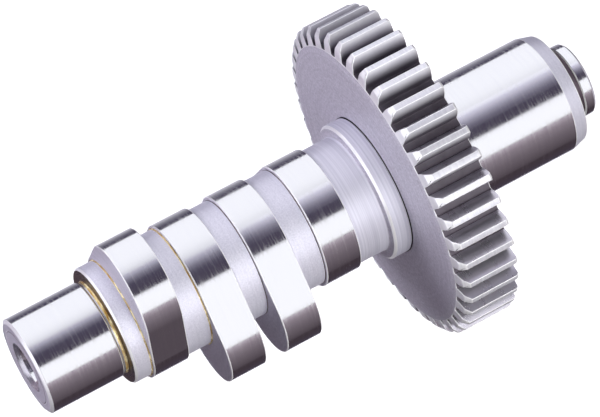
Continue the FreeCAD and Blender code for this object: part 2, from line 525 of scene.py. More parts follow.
@dataclass(frozen=True)
class PaintedRootShade:
    """Painted shade low on a tooth's flank, towards the valley between the teeth, fading towards
    its tip.

    Attributes:
        colour: The colour of the painted shade.
        inner: The radius, in millimetres, up to which the painted shade is whole.
        outer: The radius, in millimetres, from which the steel has no painted shade.
    """

    colour: str
    inner: float
    outer: float

    def build(self, tree: Tree, clean: Socket) -> Socket:
        """Lay the painted shade over the steel, by the distance from the axis.

        Args:
            tree: The material's node tree.
            clean: The colour of the clean steel.

        Returns:
            The colour with the painted shade over it.
        """
        place = add_node(tree, "ShaderNodeTexCoord").outputs["Object"]
        radius = from_axis(tree, place)[1]
        share = add_node(
            tree,
            "ShaderNodeMapRange",
            values={"From Min": self.inner * MM, "From Max": self.outer * MM},
            links={"Value": radius},
        ).outputs[0]
        return add_node(
            tree,
            "ShaderNodeMix",
            {"data_type": "RGBA"},
            {FIRST_COLOUR: linear(self.colour)},
            {0: share, SECOND_COLOUR: clean},
        ).outputs[MIXED_COLOUR]


@dataclass(frozen=True)
class MachinedSteel:
    """Bare steel with tool lines round the axis.

    Attributes:
        name: The material's name.
        light: The colour of the lighter lines.
        dark: The colour of the darker lines.
        roughness: The lowest and highest roughness of the lines.
        lines: The pattern of the tool lines.
        relief: The height of the lines for the bump, in millimetres.
        anisotropy: How far highlights are drawn out across the lines.
        metallic: One for bright metal, less where a pitted surface scatters the light.
        grain: The blasted grain over the lines, if there is one.
        painted_root_shade: The painted shade low on a tooth's flank, towards the valley, if there
            is one.
        grain_share: The grain's share in the pattern, where there is a grain.
        colour_span: The pattern's values that give the darkest and the lightest colour.
        rough_span: The pattern's values that give the lowest and the highest roughness.
    """

    name: str
    light: str
    dark: str
    roughness: tuple[float, float]
    lines: RingPattern
    relief: float
    anisotropy: float
    metallic: float = 1.0
    grain: BlastGrain | None = None
    painted_root_shade: PaintedRootShade | None = None
    grain_share: float = 0.7
    colour_span: tuple[float, float] = (0.32, 0.68)
    rough_span: tuple[float, float] = (0.3, 0.7)

    def build(self) -> bpy.types.Material:
        """Build the material.

        Returns:
            The new material.
        """
        material = bpy.data.materials.new(self.name)
        tree = empty_tree(material)
        pattern = self.lines.build(tree)
        if self.grain:
            pattern = add_node(
                tree,
                "ShaderNodeMix",
                {"data_type": "FLOAT"},
                {0: self.grain_share},
                {2: pattern, 3: self.grain.build(tree)},
            ).outputs[0]
        share = add_node(
            tree,
            "ShaderNodeMapRange",
            values={"From Min": self.colour_span[0], "From Max": self.colour_span[1]},
            links={"Value": pattern},
        ).outputs[0]
        colour = add_node(
            tree,
            "ShaderNodeMix",
            {"data_type": "RGBA"},
            {FIRST_COLOUR: linear(self.dark), SECOND_COLOUR: linear(self.light)},
            {0: share},
        ).outputs[MIXED_COLOUR]
        # Painted shade low on the tooth's flank, darkest towards the valley between the teeth.
        if self.painted_root_shade:
            colour = self.painted_root_shade.build(tree, colour)
        rough = add_node(
            tree,
            "ShaderNodeMapRange",
            values={
                "From Min": self.rough_span[0],
                "From Max": self.rough_span[1],
                "To Min": self.roughness[0],
                "To Max": self.roughness[1],
            },
            links={"Value": pattern},
        ).outputs[0]
        bump = add_node(
            tree,
            "ShaderNodeBump",
            values={"Strength": 1.0, "Distance": self.relief * MM},
            links={"Height": pattern},
        ).outputs[0]
        shader = add_node(
            tree,
            "ShaderNodeBsdfPrincipled",
            values={"Metallic": self.metallic, "Anisotropic": self.anisotropy},
            links={"Base Color": colour, "Roughness": rough, "Normal": bump},
        )
        add_node(tree, "ShaderNodeOutputMaterial", links={"Surface": shader.outputs[0]})
        return material


STEELS: dict[Finish, MachinedSteel] = {
    # Hardened steel, cylindrically ground and polished: near mirror bright, with faint rings.
    Finish.GROUND: MachinedSteel(
        "ground polished steel", "#E6E7E9", "#E1E2E6", (0.03, 0.23), RingPattern(0.22, 5.0),
        relief=0.00045, anisotropy=0.45,
    ),
    # Fine turned steel, vapour blasted: an even pale satin that scatters half of the light.
    Finish.SATIN: MachinedSteel(
        "satin turned steel", "#DCDAE7", "#C0BECE", (0.42, 0.50), RingPattern(0.36, 2.0),
        relief=0.003, anisotropy=0.0, metallic=0.55, grain=BlastGrain(0.26),
    ),
    # Turned steel with a straw temper colour: a thin golden film over the bright metal.
    Finish.STRAW: MachinedSteel(
        "straw tempered steel", "#FFF4C4", "#B4842A", (0.18, 0.32), RingPattern(0.45, 30.0, 4.0),
        relief=0.005, anisotropy=0.3, metallic=0.62,
    ),
    # Groove left as the parting tool cut it: rougher, with close rings, and darker as painted
    # shade in the recesses that it lines.
    Finish.GROOVE: MachinedSteel(
        "rough turned steel with painted shade", "#6A5E6A", "#3E3338", (0.36, 0.50), RingPattern(0.3, 5.0),
        relief=0.006, anisotropy=0.0, metallic=0.7,
    ),
    # Faced and blasted flat sides: a mid grey, duller than the cylinders.
    Finish.FACE: MachinedSteel(
        "faced blasted steel", "#D0CCD8", "#A39FAC", (0.40, 0.50),
        RingPattern(0.5, 3.0, faced=True),
        relief=0.003, anisotropy=0.0, metallic=0.3, grain=BlastGrain(0.4),
    ),
    # Hobbed and shaved tooth flanks, polished by the load: a soft even sheen.
    Finish.TOOTH: MachinedSteel(
        "shaved tooth steel", "#D0CDD7", "#C5C2CC", (0.26, 0.30), RingPattern(2.0, 60.0),
        relief=0.0001, anisotropy=0.0, metallic=0.88,
    ),
    # The hotter side of the temper colours: a brown film on the faced end of the core.
    Finish.BROWN: MachinedSteel(
        "brown tempered steel", "#7C685A", "#423636", (0.24, 0.36),
        RingPattern(0.4, 7.0, faced=True),
        relief=0.004, anisotropy=0.2, metallic=0.9,
    ),
    # Bright turned steel of grooves: its streaks catch the light, with no film.
    Finish.BRIGHT: MachinedSteel(
        "bright turned steel", "#E8E7EC", "#B4B1BC", (0.14, 0.28), RingPattern(0.3, 12.0),
        relief=0.003, anisotropy=0.3, metallic=0.85,
    ),
    # Turned lands over the teeth: paler and duller than the flanks.
    Finish.LAND: MachinedSteel(
        "turned land steel", "#E0DFE7", "#D0CFD9", (0.28, 0.36), RingPattern(0.5, 20.0),
        relief=0.001, anisotropy=0.0, metallic=0.6,
    ),
    # Deburred edges: a pale steel that scatters more of the light, so that they show as fine pale
    # lines round every rim, a painted highlight.
    Finish.RIM: MachinedSteel(
        "rim steel with painted highlight", "#F4F3F7", "#E6E5EA", (0.30, 0.38), RingPattern(0.3, 12.0),
        relief=0.001, anisotropy=0.0, metallic=0.5,
    ),
    # The same core as the satin, left as turned: the tool's rings show as fine darker lines.
    Finish.TURNED: MachinedSteel(
        "fine turned steel", "#D9D7E4", "#BEBCCC", (0.42, 0.50), RingPattern(0.34, 1.2, 5.0),
        relief=0.002, anisotropy=0.0, metallic=0.55,
    ),
    # Roots of the teeth, which the shaving tool doesn't reach: left hobbed and dull, and darker as
    # painted shade in the valleys between the teeth.
    Finish.HOBBED: MachinedSteel(
        "hobbed root steel with painted shade", "#544E58", "#474049", (0.48, 0.58), RingPattern(2.0, 60.0),
        relief=0.0005, anisotropy=0.0, metallic=0.15,
    ),
    # The flanks that run unloaded, shaved but not lapped: a duller satin, pale at the tips
    # and darker low down, a painted shade towards the valleys between the teeth.
    Finish.COAST: MachinedSteel(
        "dull shaved steel", "#D6D4DC", "#CCCAD3", (0.34, 0.40), RingPattern(2.0, 60.0),
        relief=0.0001, anisotropy=0.0, metallic=0.45, painted_root_shade=PaintedRootShade("#57525C", 31.8, 34.5),
    ),
}
# Cold drawn key bar: plain bright steel.
KEY_STEEL = MachinedSteel(
    "drawn key steel", "#C8C8CE", "#B0B0B8", (0.22, 0.32), RingPattern(0.4, 2.0),
    relief=0.002, anisotropy=0.2,
)
MATERIALS: dict[Finish, bpy.types.Material] = {
    finish: steel.build() for finish, steel in STEELS.items()
}


@dataclass(frozen=True)
class Lobe:
    """One cam lobe.

    Attributes:
        name: The lobe's name, counted from the inner journal.
        bottom: The height of its lower face, in millimetres.
        nose_angle: Where its nose points, in degrees from +X.
        tempered_foot: True where the fillet on its inner side has a straw tint.
    """

    name: str
    bottom: float
    nose_angle: float
    tempered_foot: bool = False


@dataclass
class CamShaft:
    """The one-piece shaft with its journals, collar, core and four lobes, in millimetres.

    Heights count from the outer end face. A chamfer or a band that isn't at 45 degrees has
    its size along the radius first, then along the axis. A band is the narrow stretch beside
    an edge with the pale rim finish, a painted highlight. An inset or a depth counts from the
    surface that it is cut into.
    The straight and the smooth angle, in degrees, are the largest between two faces that
    are made one and that are shaded as one.
    """

    screw_radius: float = 2.55
    screw_depth: float = 16.0
    screw_tip: float = 17.53
    screw_sink: tuple[float, float] = (3.2, 0.65)
    spigot_radius: float = 7.83
    spigot_chamfer: tuple[float, float] = (0.45, 0.5)
    spigot_band: float = 0.2
    spigot_top: float = 2.55
    notch: tuple[float, float, float] = (3.2, 3.2, 2.6)
    notch_depth: float = 2.2
    notch_height: float = 0.3
    neck_radius: float = 7.5
    neck_top: float = 4.9
    lead_in_drop: float = 0.9
    lead_in_low_band: tuple[float, float] = (0.06, 0.21)
    lead_in_high_band: tuple[float, float] = (0.04, 0.14)
    lead_in_top: float = 8.05
    outer_radius: float = 12.7
    gear_rear: float = 35.5
    seat_relief: float = 0.3
    seat_relief_length: float = 1.0
    seat_start: float = 1.7
    seat_radius: float = 13.1
    key_radius: float = 4.76
    key_width: float = 2.4
    key_place: tuple[float, float, float] = (14.7, 0.0, 41.5)
    key_turns: int = 96
    recess_floor: float = 47.5
    shoulder_radius: float = 14.0
    collar_rear: float = 48.29
    collar_front: float = 52.2
    collar_radius: float = 14.92
    collar_rear_chamfer: float = 0.14
    collar_front_chamfer: float = 0.5
    core_radius: float = 12.65
    core_top: float = 110.17
    core_chamfer: tuple[float, float] = (0.35, 0.45)
    foot_fillet: float = 0.35
    straw_foot: float = 0.28
    brown_foot: float = 0.14
    relief_radius: float = 9.95
    relief_straw: float = 0.68
    relief_ramp: float = 0.37
    relief_top: float = 111.54
    inner_radius: float = 10.32
    inner_band: float = 0.15
    inner_end: float = 127.6
    inner_chamfer: tuple[float, float] = (0.82, 0.5)
    facing_insets: tuple[float, float, float] = (2.2, 2.36, 2.52)
    facing_depth: float = 0.03
    guard_radius: float = 5.35
    cone_radius: float = 4.1
    cone_depth: float = 0.722
    pilot_radius: float = 1.9
    pilot_depth: float = 4.532
    pilot_end: float = 9.532
    pilot_tip: float = 10.674
    base_radius: float = 13.35
    nose_radius: float = 11.0
    lift: float = 7.91
    lobe_width: float = 7.93
    lobe_edge: float = 0.22
    lobe_overlap: float = 0.01
    lobe_cover: float = 0.4
    edge_break: float = 0.12
    straight_angle: float = 0.2
    smooth_angle: float = 32.0
    turns: int = 224
    lobes: list[Lobe] = field(default_factory=lambda: [
        Lobe("lobe 4", 59.06, 80.0),
        Lobe("lobe 3", 72.34, 180.0),
        Lobe("lobe 2", 84.99, 178.0, True),
        Lobe("lobe 1", 98.47, -69.0, True),
    ])

    def outline(self) -> list[Station]:
        """Return the turned outline, from the screw hole up the outside to the centre hole."""
        return self.outer_side() + self.core_side() + self.inner_side()

    def outer_side(self) -> list[Station]:
        """Return the outline's part from the screw hole to the front of the collar.

        Returns:
            The corners, in order.
        """
        # The groove finish is darker as painted shade in the recesses; the rim finish is pale as a
        # painted highlight on the edges.
        groove, ground, rim = Finish.GROOVE, Finish.GROUND, Finish.RIM
        soft = self.edge_break
        rear = self.gear_rear
        taper = self.outer_radius - self.lead_in_drop
        low_band, high_band = self.lead_in_low_band, self.lead_in_high_band
        relief = self.outer_radius - self.seat_relief
        chamfer = self.collar_rear_chamfer
        return [
            Station(0.0, self.screw_tip, finish=groove),
            Station(self.screw_radius, self.screw_depth, finish=groove),
            Station(self.screw_radius, self.screw_sink[1], finish=groove),
            Station(self.screw_sink[0], 0.0, soft, Finish.FACE),
            Station(self.spigot_radius - self.spigot_chamfer[0], 0.0, soft, Finish.FACE),
            Station(self.spigot_radius, self.spigot_chamfer[1], soft, ground),
            Station(self.spigot_radius, self.spigot_top - self.spigot_band, 0.05, rim),
            Station(self.neck_radius, self.spigot_top, 0.05, groove),
            Station(self.neck_radius, self.neck_top, 0.25, groove),
            Station(taper, self.neck_top, 0.1, rim),
            Station(taper + low_band[0], self.neck_top + low_band[1], 0.0, Finish.SATIN),
            Station(self.outer_radius - high_band[0], self.lead_in_top - high_band[1], 0.0, rim),
            Station(self.outer_radius, self.lead_in_top, 0.4, ground),
            Station(self.outer_radius, rear, 0.0, groove),
            Station(relief, rear + self.seat_relief, 0.0, groove),
            Station(relief, rear + self.seat_relief_length, 0.0, groove),
            Station(self.seat_radius, rear + self.seat_start, 0.0, ground),
            Station(self.seat_radius, self.recess_floor, 0.0, groove),
            Station(self.shoulder_radius, self.recess_floor, 0.0, groove),
            Station(self.shoulder_radius, self.collar_rear, 0.0, groove),
            Station(self.collar_radius - chamfer, self.collar_rear, 0.04, rim),
            Station(self.collar_radius, self.collar_rear + chamfer, 0.04, Finish.TURNED),
        ]

    def core_side(self) -> list[Station]:
        """Return the outline's part from the collar's front rim to the relief groove.

        Returns:
            The corners, in order. Inside each lobe the outline rises, so that the lobe's
            solid covers it and its feet can be rounded.
        """
        # The rim finish is pale as a painted highlight on the edges.
        satin, rim, turned = Finish.SATIN, Finish.RIM, Finish.TURNED
        soft = self.edge_break
        core = self.core_radius
        chamfer = self.collar_front_chamfer
        stations = [
            Station(self.collar_radius, self.collar_front - chamfer, soft, rim),
            Station(self.collar_radius - chamfer, self.collar_front, soft, Finish.FACE),
            Station(core, self.collar_front, self.foot_fillet, turned),
        ]
        inside = core + self.lobe_cover
        for lobe in self.lobes:
            bottom = lobe.bottom + self.lobe_overlap
            top = lobe.bottom + self.lobe_width - self.lobe_overlap
            width, tint = self.brown_foot, Finish.BROWN
            if lobe.tempered_foot:
                width, tint = self.straw_foot, Finish.STRAW
            stations += [
                Station(core, bottom, self.foot_fillet, satin),
                Station(inside, bottom, 0.0, satin),
                Station(inside, top, 0.0, satin),
                Station(core, top, width, satin, tint),
            ]
        return stations + [
            Station(core, self.core_top - self.core_chamfer[1], soft, rim),
            Station(core - self.core_chamfer[0], self.core_top, soft, Finish.BROWN),
            Station(self.relief_radius, self.core_top, 0.45, Finish.STRAW),
        ]

    def inner_side(self) -> list[Station]:
        """Return the outline's part from the relief groove to the tip of the centre hole.

        Returns:
            The corners, in order.
        """
        # The groove finish is darker as painted shade in the recesses; the rim finish is pale as a
        # painted highlight on the edges.
        bright, groove, rim = Finish.BRIGHT, Finish.GROOVE, Finish.RIM
        soft = self.edge_break
        journal, end, band = self.inner_radius, self.inner_end, self.inner_band
        first, middle, last = self.facing_insets
        return [
            Station(self.relief_radius, self.core_top + self.relief_straw, 0.0, bright),
            Station(self.relief_radius, self.relief_top - self.relief_ramp, 0.2, bright),
            Station(journal - band, self.relief_top - band, 0.08, rim),
            Station(journal, self.relief_top, 0.08, Finish.GROUND),
            Station(journal, end - self.inner_chamfer[1], soft, rim),
            Station(journal - self.inner_chamfer[0], end, soft, Finish.FACE),
            Station(journal - first, end, 0.0, rim),
            Station(journal - middle, end - self.facing_depth, 0.0, bright),
            Station(journal - last, end, 0.0, Finish.FACE),
            Station(self.guard_radius, end, 0.1, bright),
            Station(self.cone_radius, end - self.cone_depth, 0.05, Finish.GROUND),
            Station(self.pilot_radius, end - self.pilot_depth, 0.05, groove),
            Station(self.pilot_radius, end - self.pilot_end, 0.0, groove),
            Station(0.0, end - self.pilot_tip, 0.0, groove),
        ]

    def make_lobe(self, lobe: Lobe) -> Piece:
        """Make one lobe: the hull round a base cylinder and a nose cylinder, edges eased.

        Args:
            lobe: The lobe's place and direction.

        Returns:
            The lobe as a closed solid.
        """
        offset = self.base_radius + self.lift - self.nose_radius
        turn = math.radians(lobe.nose_angle)
        nose = metres(offset * math.cos(turn), offset * math.sin(turn), 0.0)
        middle = (lobe.bottom + self.lobe_width / 2.0) * MM
        depth = self.lobe_width * MM
        bpy.ops.object.select_all(action="DESELECT")
        bpy.ops.mesh.primitive_cylinder_add(
            vertices=self.turns, radius=self.base_radius * MM, depth=depth, location=ORIGIN
        )
        piece = bpy.context.active_object
        piece.name = lobe.name
        bpy.ops.object.mode_set(mode="EDIT")
        bpy.ops.mesh.primitive_cylinder_add(
            vertices=self.turns, radius=self.nose_radius * MM, depth=depth, location=nose
        )
        bpy.ops.mesh.select_all(action="SELECT")
        bpy.ops.transform.translate(value=(0.0, 0.0, middle))
        bpy.ops.mesh.convex_hull()
        bpy.ops.mesh.select_all(action="SELECT")
        bpy.ops.mesh.dissolve_limited(angle_limit=math.radians(self.straight_angle))
        bpy.ops.mesh.normals_make_consistent(inside=False)
        self.ease_rims(piece)
        bpy.ops.object.mode_set(mode="OBJECT")
        dress(piece, Finish.GROUND)
        for polygon in piece.data.polygons:
            lean = abs(polygon.normal.z)
            # Slanted rims take the pale rim finish, a painted highlight; flat sides are faced
            # steel.
            if lean > UPRIGHT_NORMAL:
                finish = Finish.FACE if lean > FLAT_NORMAL else Finish.RIM
                polygon.material_index = finish.value
        return piece

    def ease_rims(self, piece: Piece) -> None:
        """Bevel the two rims of a lobe that is in edit mode.

        Args:
            piece: The lobe.
        """
        sheet = bmesh.from_edit_mesh(piece.data)
        bpy.ops.mesh.select_all(action="DESELECT")
        bpy.ops.mesh.select_mode(type="EDGE")
        for edge in sheet.edges:
            flats = [face for face in edge.link_faces if abs(face.normal.z) > FLAT_NORMAL]
            edge.select_set(len(flats) == 1)
        bmesh.update_edit_mesh(piece.data)
        bpy.ops.mesh.bevel(offset=self.lobe_edge * MM, segments=3, profile=0.5, affect="EDGES")

    def make_cutters(self) -> Piece:
        """Make the tool that cuts the notch in the spigot's rim and the seat of the key.

        Returns:
            The tool: a disc for the seat and a block for the notch.
        """
        bpy.ops.object.select_all(action="DESELECT")
        bpy.ops.mesh.primitive_cylinder_add(
            vertices=self.key_turns,
            radius=self.key_radius * MM,
            depth=self.key_width * MM,
            location=ORIGIN,
        )
        tool = bpy.context.active_object
        bpy.ops.object.mode_set(mode="EDIT")
        bpy.ops.transform.rotate(value=math.pi / 2.0, orient_axis="X", center_override=ORIGIN)
        bpy.ops.transform.translate(value=metres(*self.key_place))
        bpy.ops.transform.rotate(value=KEY_TURN, orient_axis="Z", center_override=ORIGIN)
        bpy.ops.mesh.select_all(action="DESELECT")
        bpy.ops.mesh.primitive_cube_add(size=1.0, location=ORIGIN)
        bpy.ops.transform.resize(value=metres(*self.notch))
        middle = self.spigot_radius - self.notch_depth + self.notch[1] / 2.0
        bpy.ops.transform.translate(value=metres(0.0, middle, self.notch_height))
        bpy.ops.object.mode_set(mode="OBJECT")
        # The cut walls take the darker groove finish: painted shade in the notch and the key's
        # seat.
        dress(tool, Finish.GROOVE)
        return tool

    def build(self) -> Piece:
        """Build the shaft and report it.

        Returns:
            The finished shaft.
        """
        points = rounded(self.outline(), CORNER_STEPS)
        piece = spin_outline("camshaft_shaft", points, self.turns, False)
        cams = [self.make_lobe(lobe) for lobe in self.lobes]
        select_only(*cams)
        bpy.ops.object.join()
        combine(piece, cams[0], "UNION")
        combine(piece, self.make_cutters(), "DIFFERENCE")
        clean_mesh(piece)
        smooth_with_flat_faces(piece, self.smooth_angle)
        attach(piece, ROOT_BODY)
        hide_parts("camshaft")
        log.info("%s: %d faces", piece.name, len(piece.data.polygons))
        return piece


@dataclass
class TimingGear:
    """The pressed-on spur gear, in millimetres and degrees.

    The teeth end in bevels, each with its size along the radius first, then along the axis.
    The overhang is how far a raw tooth stands out of the blank, which trims it. The margins
    tell the walls of the raw tooth apart: the land by its distance from the tip circle, the
    hobbed part from the root circle, the web from the bore, and the cut sides from their
    planes.
    """

    teeth: int = 42
    module: float = 25.4 / 16.0
    pressure_angle: float = 20.0
    profile_shift: float = -0.33
    dedendum: float = 1.25
    backlash: float = 0.04
    root_fillet: float = 0.35
    phase: float = -88.25
    rear: float = 35.5
    front: float = 48.2
    bore_radius: float = 13.1
    recess_radius: float = 15.05
    recess_floor: float = 47.5
    rear_bevel: float = 0.4
    rear_bevel_slope: float = 1.125
    tip_bevel: tuple[float, float] = (1.3, 1.75)
    tip_bevel_end: float = 0.7
    root_bevel: tuple[float, float] = (0.15, 0.236)
    root_bevel_end: float = 1.4
    keyway: tuple[float, float, float] = (3.0, 2.4, 16.0)
    keyway_radius: float = 12.95
    keyway_height: float = 6.35
    edge_break: float = 0.12
    edge_reach: float = 2.5
    sharp_angle: float = 33.0
    smooth_angle: float = 36.0
    land_margin: float = 0.06
    hobbed_margin: float = 0.36
    web_margin: float = 2.0
    overhang: float = 1.0
    side_margin: float = 0.002
    fillet_steps: int = 3
    flank_steps: int = 4
    turns: int = 168

    @property
    def pitch_radius(self) -> float:
        """Radius of the pitch circle."""
        return self.module * self.teeth / 2.0

    @property
    def tip_radius(self) -> float:
        """Radius over the tips of the teeth."""
        return self.pitch_radius + self.module * (1.0 + self.profile_shift)

    @property
    def root_radius(self) -> float:
        """Radius at the root of the teeth."""
        return self.pitch_radius - self.module * (self.dedendum - self.profile_shift)

    def half_angle(self, radius: float) -> float:
        """Measure one tooth on its involute flanks.

        Args:
            radius: The distance from the axis, in millimetres.

        Returns:
            Half the angle that the tooth spans there, in radians.
        """
        slope = math.radians(self.pressure_angle)
        base = self.pitch_radius * math.cos(slope)
        shift = 2.0 * self.profile_shift * math.tan(slope)
        thickness = self.module * (math.pi / 2.0 + shift) - self.backlash
        at_pitch = thickness / (2.0 * self.pitch_radius) + math.tan(slope) - slope
        lean = math.acos(min(1.0, base / max(radius, base)))
        return at_pitch - (math.tan(lean) - lean)

    def tooth_wire(self) -> list[Vector]:
        """Draw one tooth's section, closed by the sides and the foot of its sector.

        Returns:
            The section's corners, in order.
        """
        pitch = math.tau / self.teeth
        base = self.pitch_radius * math.cos(math.radians(self.pressure_angle))
        foot = self.half_angle(base)
        fillet = self.root_fillet / self.root_radius
        inner = self.bore_radius - self.overhang
        side = [(inner, pitch / 2.0), (self.root_radius, pitch / 2.0)]
        for step in range(self.fillet_steps + 1):
            angle = math.radians(90.0 * step / self.fillet_steps)
            away = fillet * (1.0 - math.sin(angle))
            rise = self.root_fillet * (1.0 - math.cos(angle))
            side.append((self.root_radius + rise, foot + away))
        for step in range(self.flank_steps + 1):
            radius = base + step / self.flank_steps * (self.tip_radius - base)
            side.append((radius, self.half_angle(radius)))
        middle = [(self.tip_radius, 0.0)]
        polar = [(r, -a) for r, a in side] + middle + [(r, a) for r, a in reversed(side)]
        start = math.radians(self.phase)
        low = self.rear - self.overhang
        return [Vector((r * math.cos(start + a), r * math.sin(start + a), low)) for r, a in polar]

    def blank(self) -> Piece:
        """Turn the blank, with its bevels, bore and front recess.

        Returns:
            The blank as a closed solid.
        """
        # The groove finish is darker as painted shade in the recesses; the rim finish is pale as a
        # painted highlight on the edges.
        face, rim, tooth, groove = Finish.FACE, Finish.RIM, Finish.TOOTH, Finish.GROOVE
        tip, root, front, over = self.tip_radius, self.root_radius, self.front, self.overhang
        width, depth = self.tip_bevel
        rear_rise = self.rear_bevel_slope * (self.rear_bevel + over)
        front_rise = (depth - self.tip_bevel_end) / width * over
        stations = [
            Station(self.bore_radius, self.rear, finish=face),
            Station(tip - self.rear_bevel, self.rear, 0.1, rim),
            Station(tip + over, self.rear + rear_rise, 0.0, tooth),
            Station(tip + over, front - depth - front_rise, 0.0, rim),
            Station(tip - width, front - self.tip_bevel_end, 1.2, rim),
            Station(root - self.root_bevel[0], front - self.root_bevel[1], 0.0, face),
            Station(root - self.root_bevel_end, front, 1.0, face),
            Station(self.recess_radius, front, 0.1, groove),
            Station(self.recess_radius, self.recess_floor, 0.1, groove),
            Station(self.bore_radius, self.recess_floor, 0.0, groove),
        ]
        return spin_outline("gear blank", rounded(stations, CORNER_STEPS), self.turns, True)

    def sector(self) -> Piece:
        """Make one tooth with its slice of the gear's body.

        Returns:
            The slice, in edit mode, with its edges eased and its sides open.
        """
        piece = fresh_object("timing_gear_ring")
        draw_wire(self.tooth_wire())
        bpy.ops.mesh.select_all(action="SELECT")
        bpy.ops.mesh.edge_face_add()
        rise = (self.front - self.rear + 2.0 * self.overhang) * MM
        bpy.ops.mesh.extrude_region_move(TRANSFORM_OT_translate={"value": (0.0, 0.0, rise)})
        bpy.ops.mesh.select_all(action="SELECT")
        bpy.ops.mesh.normals_make_consistent(inside=False)
        bpy.ops.object.mode_set(mode="OBJECT")
        dress(piece, Finish.TOOTH)
        combine(piece, self.blank(), "INTERSECT")
        self.dress_walls(piece)
        bpy.ops.object.mode_set(mode="EDIT")
        self.ease_edges(piece)
        self.open_sides(piece)
        return piece

    def dress_walls(self, piece: Piece) -> None:
        """Give the land, the root and the unloaded flank of the tooth their finishes.

        Args:
            piece: The slice with the tooth, in object mode.
        """
        root = self.root_radius
        for polygon in piece.data.polygons:
            if abs(polygon.normal.z) >= UPRIGHT_NORMAL:
                continue
            radius = math.hypot(polygon.center.x, polygon.center.y) / MM
            angle = math.atan2(polygon.center.y, polygon.center.x) - math.radians(self.phase)
            if radius > self.tip_radius - self.land_margin:
                polygon.material_index = Finish.LAND.value
            # The roots take the hobbed finish, whose darker colour is painted shade in the
            # valleys.
            elif self.bore_radius + self.web_margin < radius < root + self.hobbed_margin:
                polygon.material_index = Finish.HOBBED.value
            elif radius > root and angle < 0.0:
                polygon.material_index = Finish.COAST.value

    def make_keyway(self) -> Piece:
        """Make the tool that cuts the keyway through the bore.

        Returns:
            The tool, a block.
        """
        middle = metres(self.keyway_radius, 0.0, self.rear + self.keyway_height)
        bpy.ops.object.select_all(action="DESELECT")
        bpy.ops.mesh.primitive_cube_add(size=1.0, location=ORIGIN)
        tool = bpy.context.active_object
        bpy.ops.object.mode_set(mode="EDIT")
        bpy.ops.transform.resize(value=metres(*self.keyway))
        bpy.ops.transform.translate(value=middle)
        bpy.ops.transform.rotate(value=KEY_TURN, orient_axis="Z", center_override=ORIGIN)
        bpy.ops.object.mode_set(mode="OBJECT")
        # The keyway's walls take the darker groove finish: painted shade in the cut.
        dress(tool, Finish.GROOVE)
        return tool

    def side_gap(self, spot: Vector) -> float:
        """Measure how far a point lies from the nearer side plane of the sector.

        Args:
            spot: The point, in metres.

        Returns:
            The distance, in metres.
        """
        half = math.pi / self.teeth
        angle = math.atan2(spot.y, spot.x) - math.radians(self.phase)
        radius = math.hypot(spot.x, spot.y)
        return min(abs(radius * math.sin(angle - half)), abs(radius * math.sin(angle + half)))

    def ease_edges(self, piece: Piece) -> None:
        """Round the sharp edges of the tooth a little, as deburring does, and give them the pale
        rim finish, a painted highlight.

        Args:
            piece: The slice with the tooth, in edit mode.
        """
        sheet = bmesh.from_edit_mesh(piece.data)
        bpy.ops.mesh.select_mode(type="EDGE")
        bpy.ops.mesh.select_all(action="DESELECT")
        for edge in sheet.edges:
            middle = (edge.verts[0].co + edge.verts[1].co) / 2.0
            radius = math.hypot(middle.x, middle.y)
            outer = radius > (self.root_radius - self.edge_reach) * MM
            closed = len(edge.link_faces) == 2
            sharp = closed and edge.calc_face_angle() > math.radians(self.sharp_angle)
            within = self.side_gap(middle) > self.side_margin * MM
            edge.select_set(outer and sharp and within)
        bmesh.update_edit_mesh(piece.data)
        # The eased edges take the pale rim finish, a painted highlight.
        bpy.ops.mesh.bevel(
            offset=self.edge_break * MM,
            segments=2,
            profile=0.5,
            affect="EDGES",
            material=Finish.RIM.value,
        )

    def open_sides(self, piece: Piece) -> None:
        """Take away the two flat sides of the sector, where the next teeth join on.

        Args:
            piece: The slice with the tooth, in edit mode.
        """
        sheet = bmesh.from_edit_mesh(piece.data)
        bpy.ops.mesh.select_mode(type="FACE")
        bpy.ops.mesh.select_all(action="DESELECT")
        for face in sheet.faces:
            gaps = [self.side_gap(corner.co) for corner in face.verts]
            face.select_set(max(gaps) < self.side_margin * MM)
        bmesh.update_edit_mesh(piece.data)
        bpy.ops.mesh.delete(type="FACE")

    def build(self) -> Piece:
        """Build the gear: one tooth with its slice of the body, copied round the axis.

        Returns:
            The finished gear.
        """
        piece = self.sector()
        select_vertices()
        copies = self.teeth - 1
        spin_mesh(copies, math.tau * copies / self.teeth, True, TOOTH_WELD)
        combine(piece, self.make_keyway(), "DIFFERENCE")
        clean_mesh(piece)
        smooth_with_flat_faces(piece, self.smooth_angle)
        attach(piece, ROOT_BODY)
        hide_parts("timing_gear")
        log.info("%s: %d faces", piece.name, len(piece.data.polygons))
        return piece


@dataclass
class HalfRoundKey:
    """The half-round key of the gear, which is kept as the CAD made it.

    Attributes:
        node: The CAD node of the key.
    """

    node: str = "gear_key"

    def dress(self) -> None:
        """Give the CAD solid its drawn steel."""
        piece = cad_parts[self.node]
        steel = KEY_STEEL.build()
        if not piece.material_slots:
            piece.data.materials.append(steel)
        for place in piece.material_slots:
            place.material = steel
        log.info("%s: kept", piece.name)


class LightUse(Enum):
    """What a light reaches: all surfaces, only what mirrors, or only what scatters."""

    ALL = 0
    MIRROR = 1
    FILL = 2


